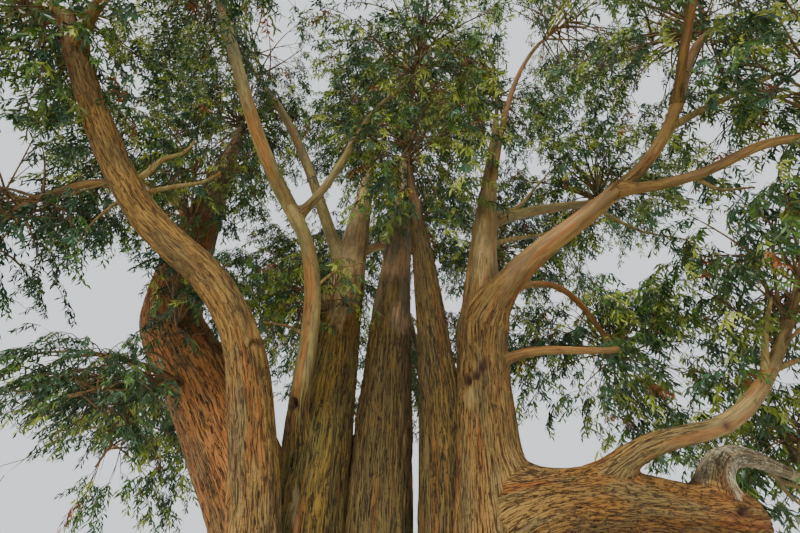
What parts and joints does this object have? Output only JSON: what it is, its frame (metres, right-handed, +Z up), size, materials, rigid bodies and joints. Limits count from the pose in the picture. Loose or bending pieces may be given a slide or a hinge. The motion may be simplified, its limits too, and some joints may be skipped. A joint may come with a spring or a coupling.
{
  "type": "many-stemmed gum tree",
  "caption": "Old many-stemmed gum tree: thick slanting stems fan out of one root crown and carry curved boughs with hanging masses of narrow leaves.",
  "frame": {"origin": "on the flat cut at ground level, in the middle of the root crown", "axes": "+Z up; the side that the picture was taken from looks along -Y, and +X is to its right"},
  "size_m": [18.7643, 15.6948, 19.9451],
  "materials": {
    "bark": "rough, deeply furrowed brown bark",
    "pale_bark": "smooth pale cream and tan bark with peeled streaks",
    "foliage": "waxy narrow leaves, blue green to olive"
  },
  "bodies": {
    "root": {"root_crown": "bark", "stem_far_left": "bark", "stem_near_left": "bark", "stem_mid_left": "bark", "stem_leader": "bark", "stem_slim": "bark", "stem_right": "bark", "bough_near_left": "bark", "bough_hanging_left": "bark", "bough_front_left": "bark", "bough_pale": "pale_bark", "bough_pale_upper": "pale_bark", "bough_pale_side": "pale_bark", "bough_steep_left": "pale_bark", "bough_wand": "pale_bark", "bough_right": "pale_bark", "bough_right_upper": "pale_bark", "bough_right_level": "pale_bark", "bough_front_right": "pale_bark", "bough_far_right": "pale_bark", "bough_arched": "pale_bark", "bough_bare": "pale_bark", "bough_back_right": "bark", "bough_low": "bark", "bough_low_upper": "pale_bark", "bough_low_end": "bark", "bough_back_left_low": "bark", "bough_far_left_high": "bark", "bough_back_high": "bark", "bough_back_left": "bark", "bough_back_low": "bark", "leaves_far_left": "foliage", "leaves_near_left": "foliage", "leaves_hanging_left": "foliage", "leaves_hanging_front": "foliage", "leaves_front_left": "foliage", "leaves_mid_left": "foliage", "leaves_pale_upper": "foliage", "leaves_pale_side": "foliage", "leaves_steep_left": "foliage", "leaves_inner": "foliage", "leaves_slim": "foliage", "leaves_right": "foliage", "leaves_wand": "foliage", "leaves_right_upper": "foliage", "leaves_right_level": "foliage", "leaves_front_right": "foliage", "leaves_far_right": "foliage", "leaves_arched": "foliage", "leaves_back_right": "foliage", "leaves_low_upper": "foliage", "leaves_low_end": "foliage", "leaves_back_left_low": "foliage", "leaves_far_left_high": "foliage", "leaves_stem_tuft": "foliage", "leaves_leader": "foliage", "leaves_back_high": "foliage", "leaves_back_left": "foliage", "leaves_back_low": "foliage", "leaves_mid_tuft": "foliage"}
  },
  "joints": []
}
